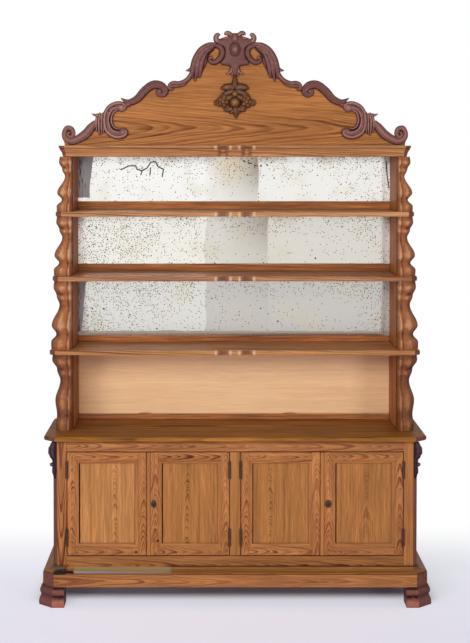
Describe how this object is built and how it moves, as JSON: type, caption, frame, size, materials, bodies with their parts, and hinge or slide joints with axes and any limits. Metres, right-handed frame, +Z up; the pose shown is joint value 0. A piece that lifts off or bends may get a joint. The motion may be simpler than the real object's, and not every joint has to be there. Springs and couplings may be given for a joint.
{
  "type": "welsh dresser",
  "caption": "Pitch-pine dresser: a cupboard base with framed doors, a stepped plate rack backed with mirrors, scroll brackets and a carved scroll crest.",
  "frame": {"origin": "on the floor under the middle of the whole piece", "axes": "+X to the right seen from the front, -Y out of the front, +Z up"},
  "size_m": [1.681, 0.492, 2.4647],
  "materials": {
    "pine": "waxed pitch pine",
    "crest_pine": "waxed pitch pine, horizontal grain",
    "shelf_pine": "waxed pitch pine, reddish",
    "counter_pine": "worn waxed pitch pine",
    "pale_pine": "newer pale pine",
    "inner_pine": "unfinished pine",
    "carved_wood": "stained and waxed carving",
    "corbel_wood": "dark stained carving",
    "foot_wood": "red-brown stained",
    "mirror": "foxed silvered glass",
    "iron": "brown patinated iron"
  },
  "bodies": {
    "cabinet": {"plinth_frame": "pine", "base_moulding_left": "pine", "base_moulding_right": "pine", "carcass_side_left": "pine", "carcass_side_right": "pine", "face_frame": "pine", "rack_side_left": "pine", "rack_side_right": "pine", "crest_board": "crest_pine", "lower_shelf": "shelf_pine", "middle_shelf": "shelf_pine", "upper_shelf": "shelf_pine", "cornice_shelf": "shelf_pine", "bottom_bracket_left": "shelf_pine", "bottom_bracket_right": "shelf_pine", "lower_bracket_left": "shelf_pine", "lower_bracket_right": "shelf_pine", "middle_bracket_left": "shelf_pine", "middle_bracket_right": "shelf_pine", "top_bracket_left": "shelf_pine", "top_bracket_right": "shelf_pine", "counter_top": "counter_pine", "pale_panel": "pale_pine", "carcass_back": "inner_pine", "carcass_bottom": "inner_pine", "rack_back": "inner_pine", "crest_carving_left": "carved_wood", "crest_carving_right": "carved_wood", "crest_cartouche": "carved_wood", "corbel_left": "corbel_wood", "corbel_right": "corbel_wood", "foot_front_left": "foot_wood", "foot_front_right": "foot_wood", "foot_rear_left": "foot_wood", "foot_rear_right": "foot_wood", "mirror_lower": "mirror", "mirror_middle": "mirror", "mirror_upper": "mirror", "left_passive_hinge_lower": "iron", "left_passive_hinge_upper": "iron", "left_leading_hinge_lower": "iron", "left_leading_hinge_upper": "iron", "right_passive_hinge_lower": "iron", "right_passive_hinge_upper": "iron", "right_leading_hinge_lower": "iron", "right_leading_hinge_upper": "iron"},
    "left_passive_door": {"left_passive_door_frame": "pine", "left_passive_door_panel": "pine"},
    "left_leading_door": {"left_leading_door_frame": "pine", "left_leading_door_panel": "pine", "escutcheon_left": "iron", "lock_case_left": "iron"},
    "right_passive_door": {"right_passive_door_frame": "pine", "right_passive_door_panel": "pine"},
    "right_leading_door": {"right_leading_door_frame": "pine", "right_leading_door_panel": "pine", "escutcheon_right": "iron", "lock_case_right": "iron"},
    "left_bolt": {"lock_bolt_left": "iron"},
    "right_bolt": {"lock_bolt_right": "iron"}
  },
  "joints": [
    {"name": "left_passive_door_hinge", "type": "hinge", "parent": "cabinet", "child": "left_passive_door", "pos_m": [-0.719, -0.1937, 0.43305], "axis": [0, 0, -1], "range_deg": [0, 115]},
    {"name": "left_leading_door_hinge", "type": "hinge", "parent": "cabinet", "child": "left_leading_door", "pos_m": [-0.024, -0.1937, 0.43305], "axis": [0, 0, 1], "range_deg": [0, 90]},
    {"name": "right_passive_door_hinge", "type": "hinge", "parent": "cabinet", "child": "right_passive_door", "pos_m": [0.024, -0.1937, 0.43305], "axis": [0, 0, -1], "range_deg": [0, 90]},
    {"name": "right_leading_door_hinge", "type": "hinge", "parent": "cabinet", "child": "right_leading_door", "pos_m": [0.719, -0.1937, 0.43305], "axis": [0, 0, 1], "range_deg": [0, 115]},
    {"name": "left_bolt_slide", "type": "slide", "parent": "left_leading_door", "child": "left_bolt", "axis": [-1, 0, 0], "range_m": [0, 0.014]},
    {"name": "right_bolt_slide", "type": "slide", "parent": "right_leading_door", "child": "right_bolt", "axis": [-1, 0, 0], "range_m": [0, 0.014]}
  ]
}
